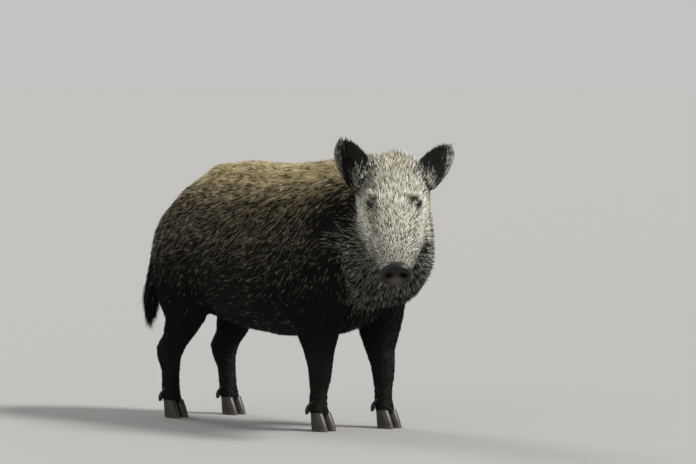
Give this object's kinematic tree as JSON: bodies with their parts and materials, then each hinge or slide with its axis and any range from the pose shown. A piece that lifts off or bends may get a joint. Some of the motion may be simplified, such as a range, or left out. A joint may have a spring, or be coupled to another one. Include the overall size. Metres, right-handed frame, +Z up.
{
  "type": "wild boar",
  "caption": "Life-size still model of a young adult wild boar standing square with its head turned to its right.",
  "frame": {"origin": "middle of the bounding box on the floor, between the feet", "axes": "the boar's trunk faces -Y, its left side is +X and +Z is up"},
  "size_m": [0.4522, 1.1866, 0.807],
  "materials": {
    "coat": "coarse grizzled bristle over skin",
    "dark_coat": "short black-brown bristle over skin",
    "bare_skin": "moist bare skin",
    "horn": "worn hoof horn",
    "eye": "wet and glossy"
  },
  "bodies": {
    "root": {"trunk": "coat", "neck": "coat", "head": "coat", "lower_jaw": "coat", "snout_disc": "bare_skin", "eye_left": "eye", "eye_right": "eye", "ear_left": "dark_coat", "ear_right": "dark_coat", "tail": "dark_coat", "fore_right_leg": "dark_coat", "fore_right_outer_claw": "horn", "fore_right_outer_dewclaw": "horn", "fore_right_inner_claw": "horn", "fore_right_inner_dewclaw": "horn", "fore_left_leg": "dark_coat", "fore_left_outer_claw": "horn", "fore_left_outer_dewclaw": "horn", "fore_left_inner_claw": "horn", "fore_left_inner_dewclaw": "horn", "hind_right_leg": "dark_coat", "hind_right_outer_claw": "horn", "hind_right_outer_dewclaw": "horn", "hind_right_inner_claw": "horn", "hind_right_inner_dewclaw": "horn", "hind_left_leg": "dark_coat", "hind_left_outer_claw": "horn", "hind_left_outer_dewclaw": "horn", "hind_left_inner_claw": "horn", "hind_left_inner_dewclaw": "horn"}
  },
  "joints": []
}
